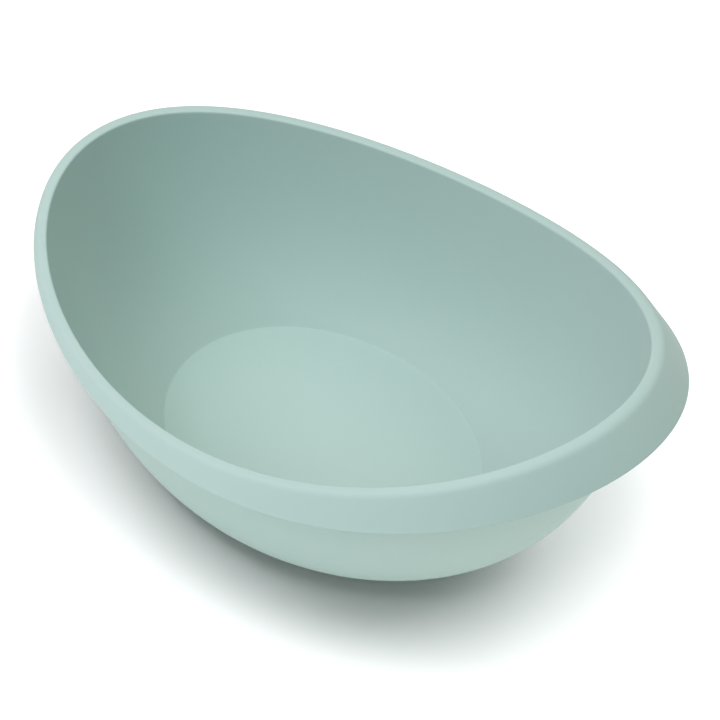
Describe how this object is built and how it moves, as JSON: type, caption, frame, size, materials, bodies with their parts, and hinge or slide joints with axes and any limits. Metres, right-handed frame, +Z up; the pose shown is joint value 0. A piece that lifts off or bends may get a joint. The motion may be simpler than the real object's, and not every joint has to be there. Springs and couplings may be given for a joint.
{
  "type": "baby bath tub",
  "caption": "Oval moulded plastic baby bath with a high laid-back end, a swept rim turned down into a hand-grip lip, a flat oval floor and rubber feet.",
  "frame": {"origin": "on the ground under the middle of the tub's overall length and width", "axes": "+X towards the high backrest end, +Y to the left, +Z up"},
  "size_m": [0.8, 0.512, 0.3455],
  "materials": {
    "shell_plastic": "satin",
    "foot_rubber": "matte"
  },
  "bodies": {
    "root": {"tub_shell": "shell_plastic", "rubber_foot_back_left": "foot_rubber", "rubber_foot_back_right": "foot_rubber", "rubber_foot_front_left": "foot_rubber", "rubber_foot_front_right": "foot_rubber"}
  },
  "joints": []
}
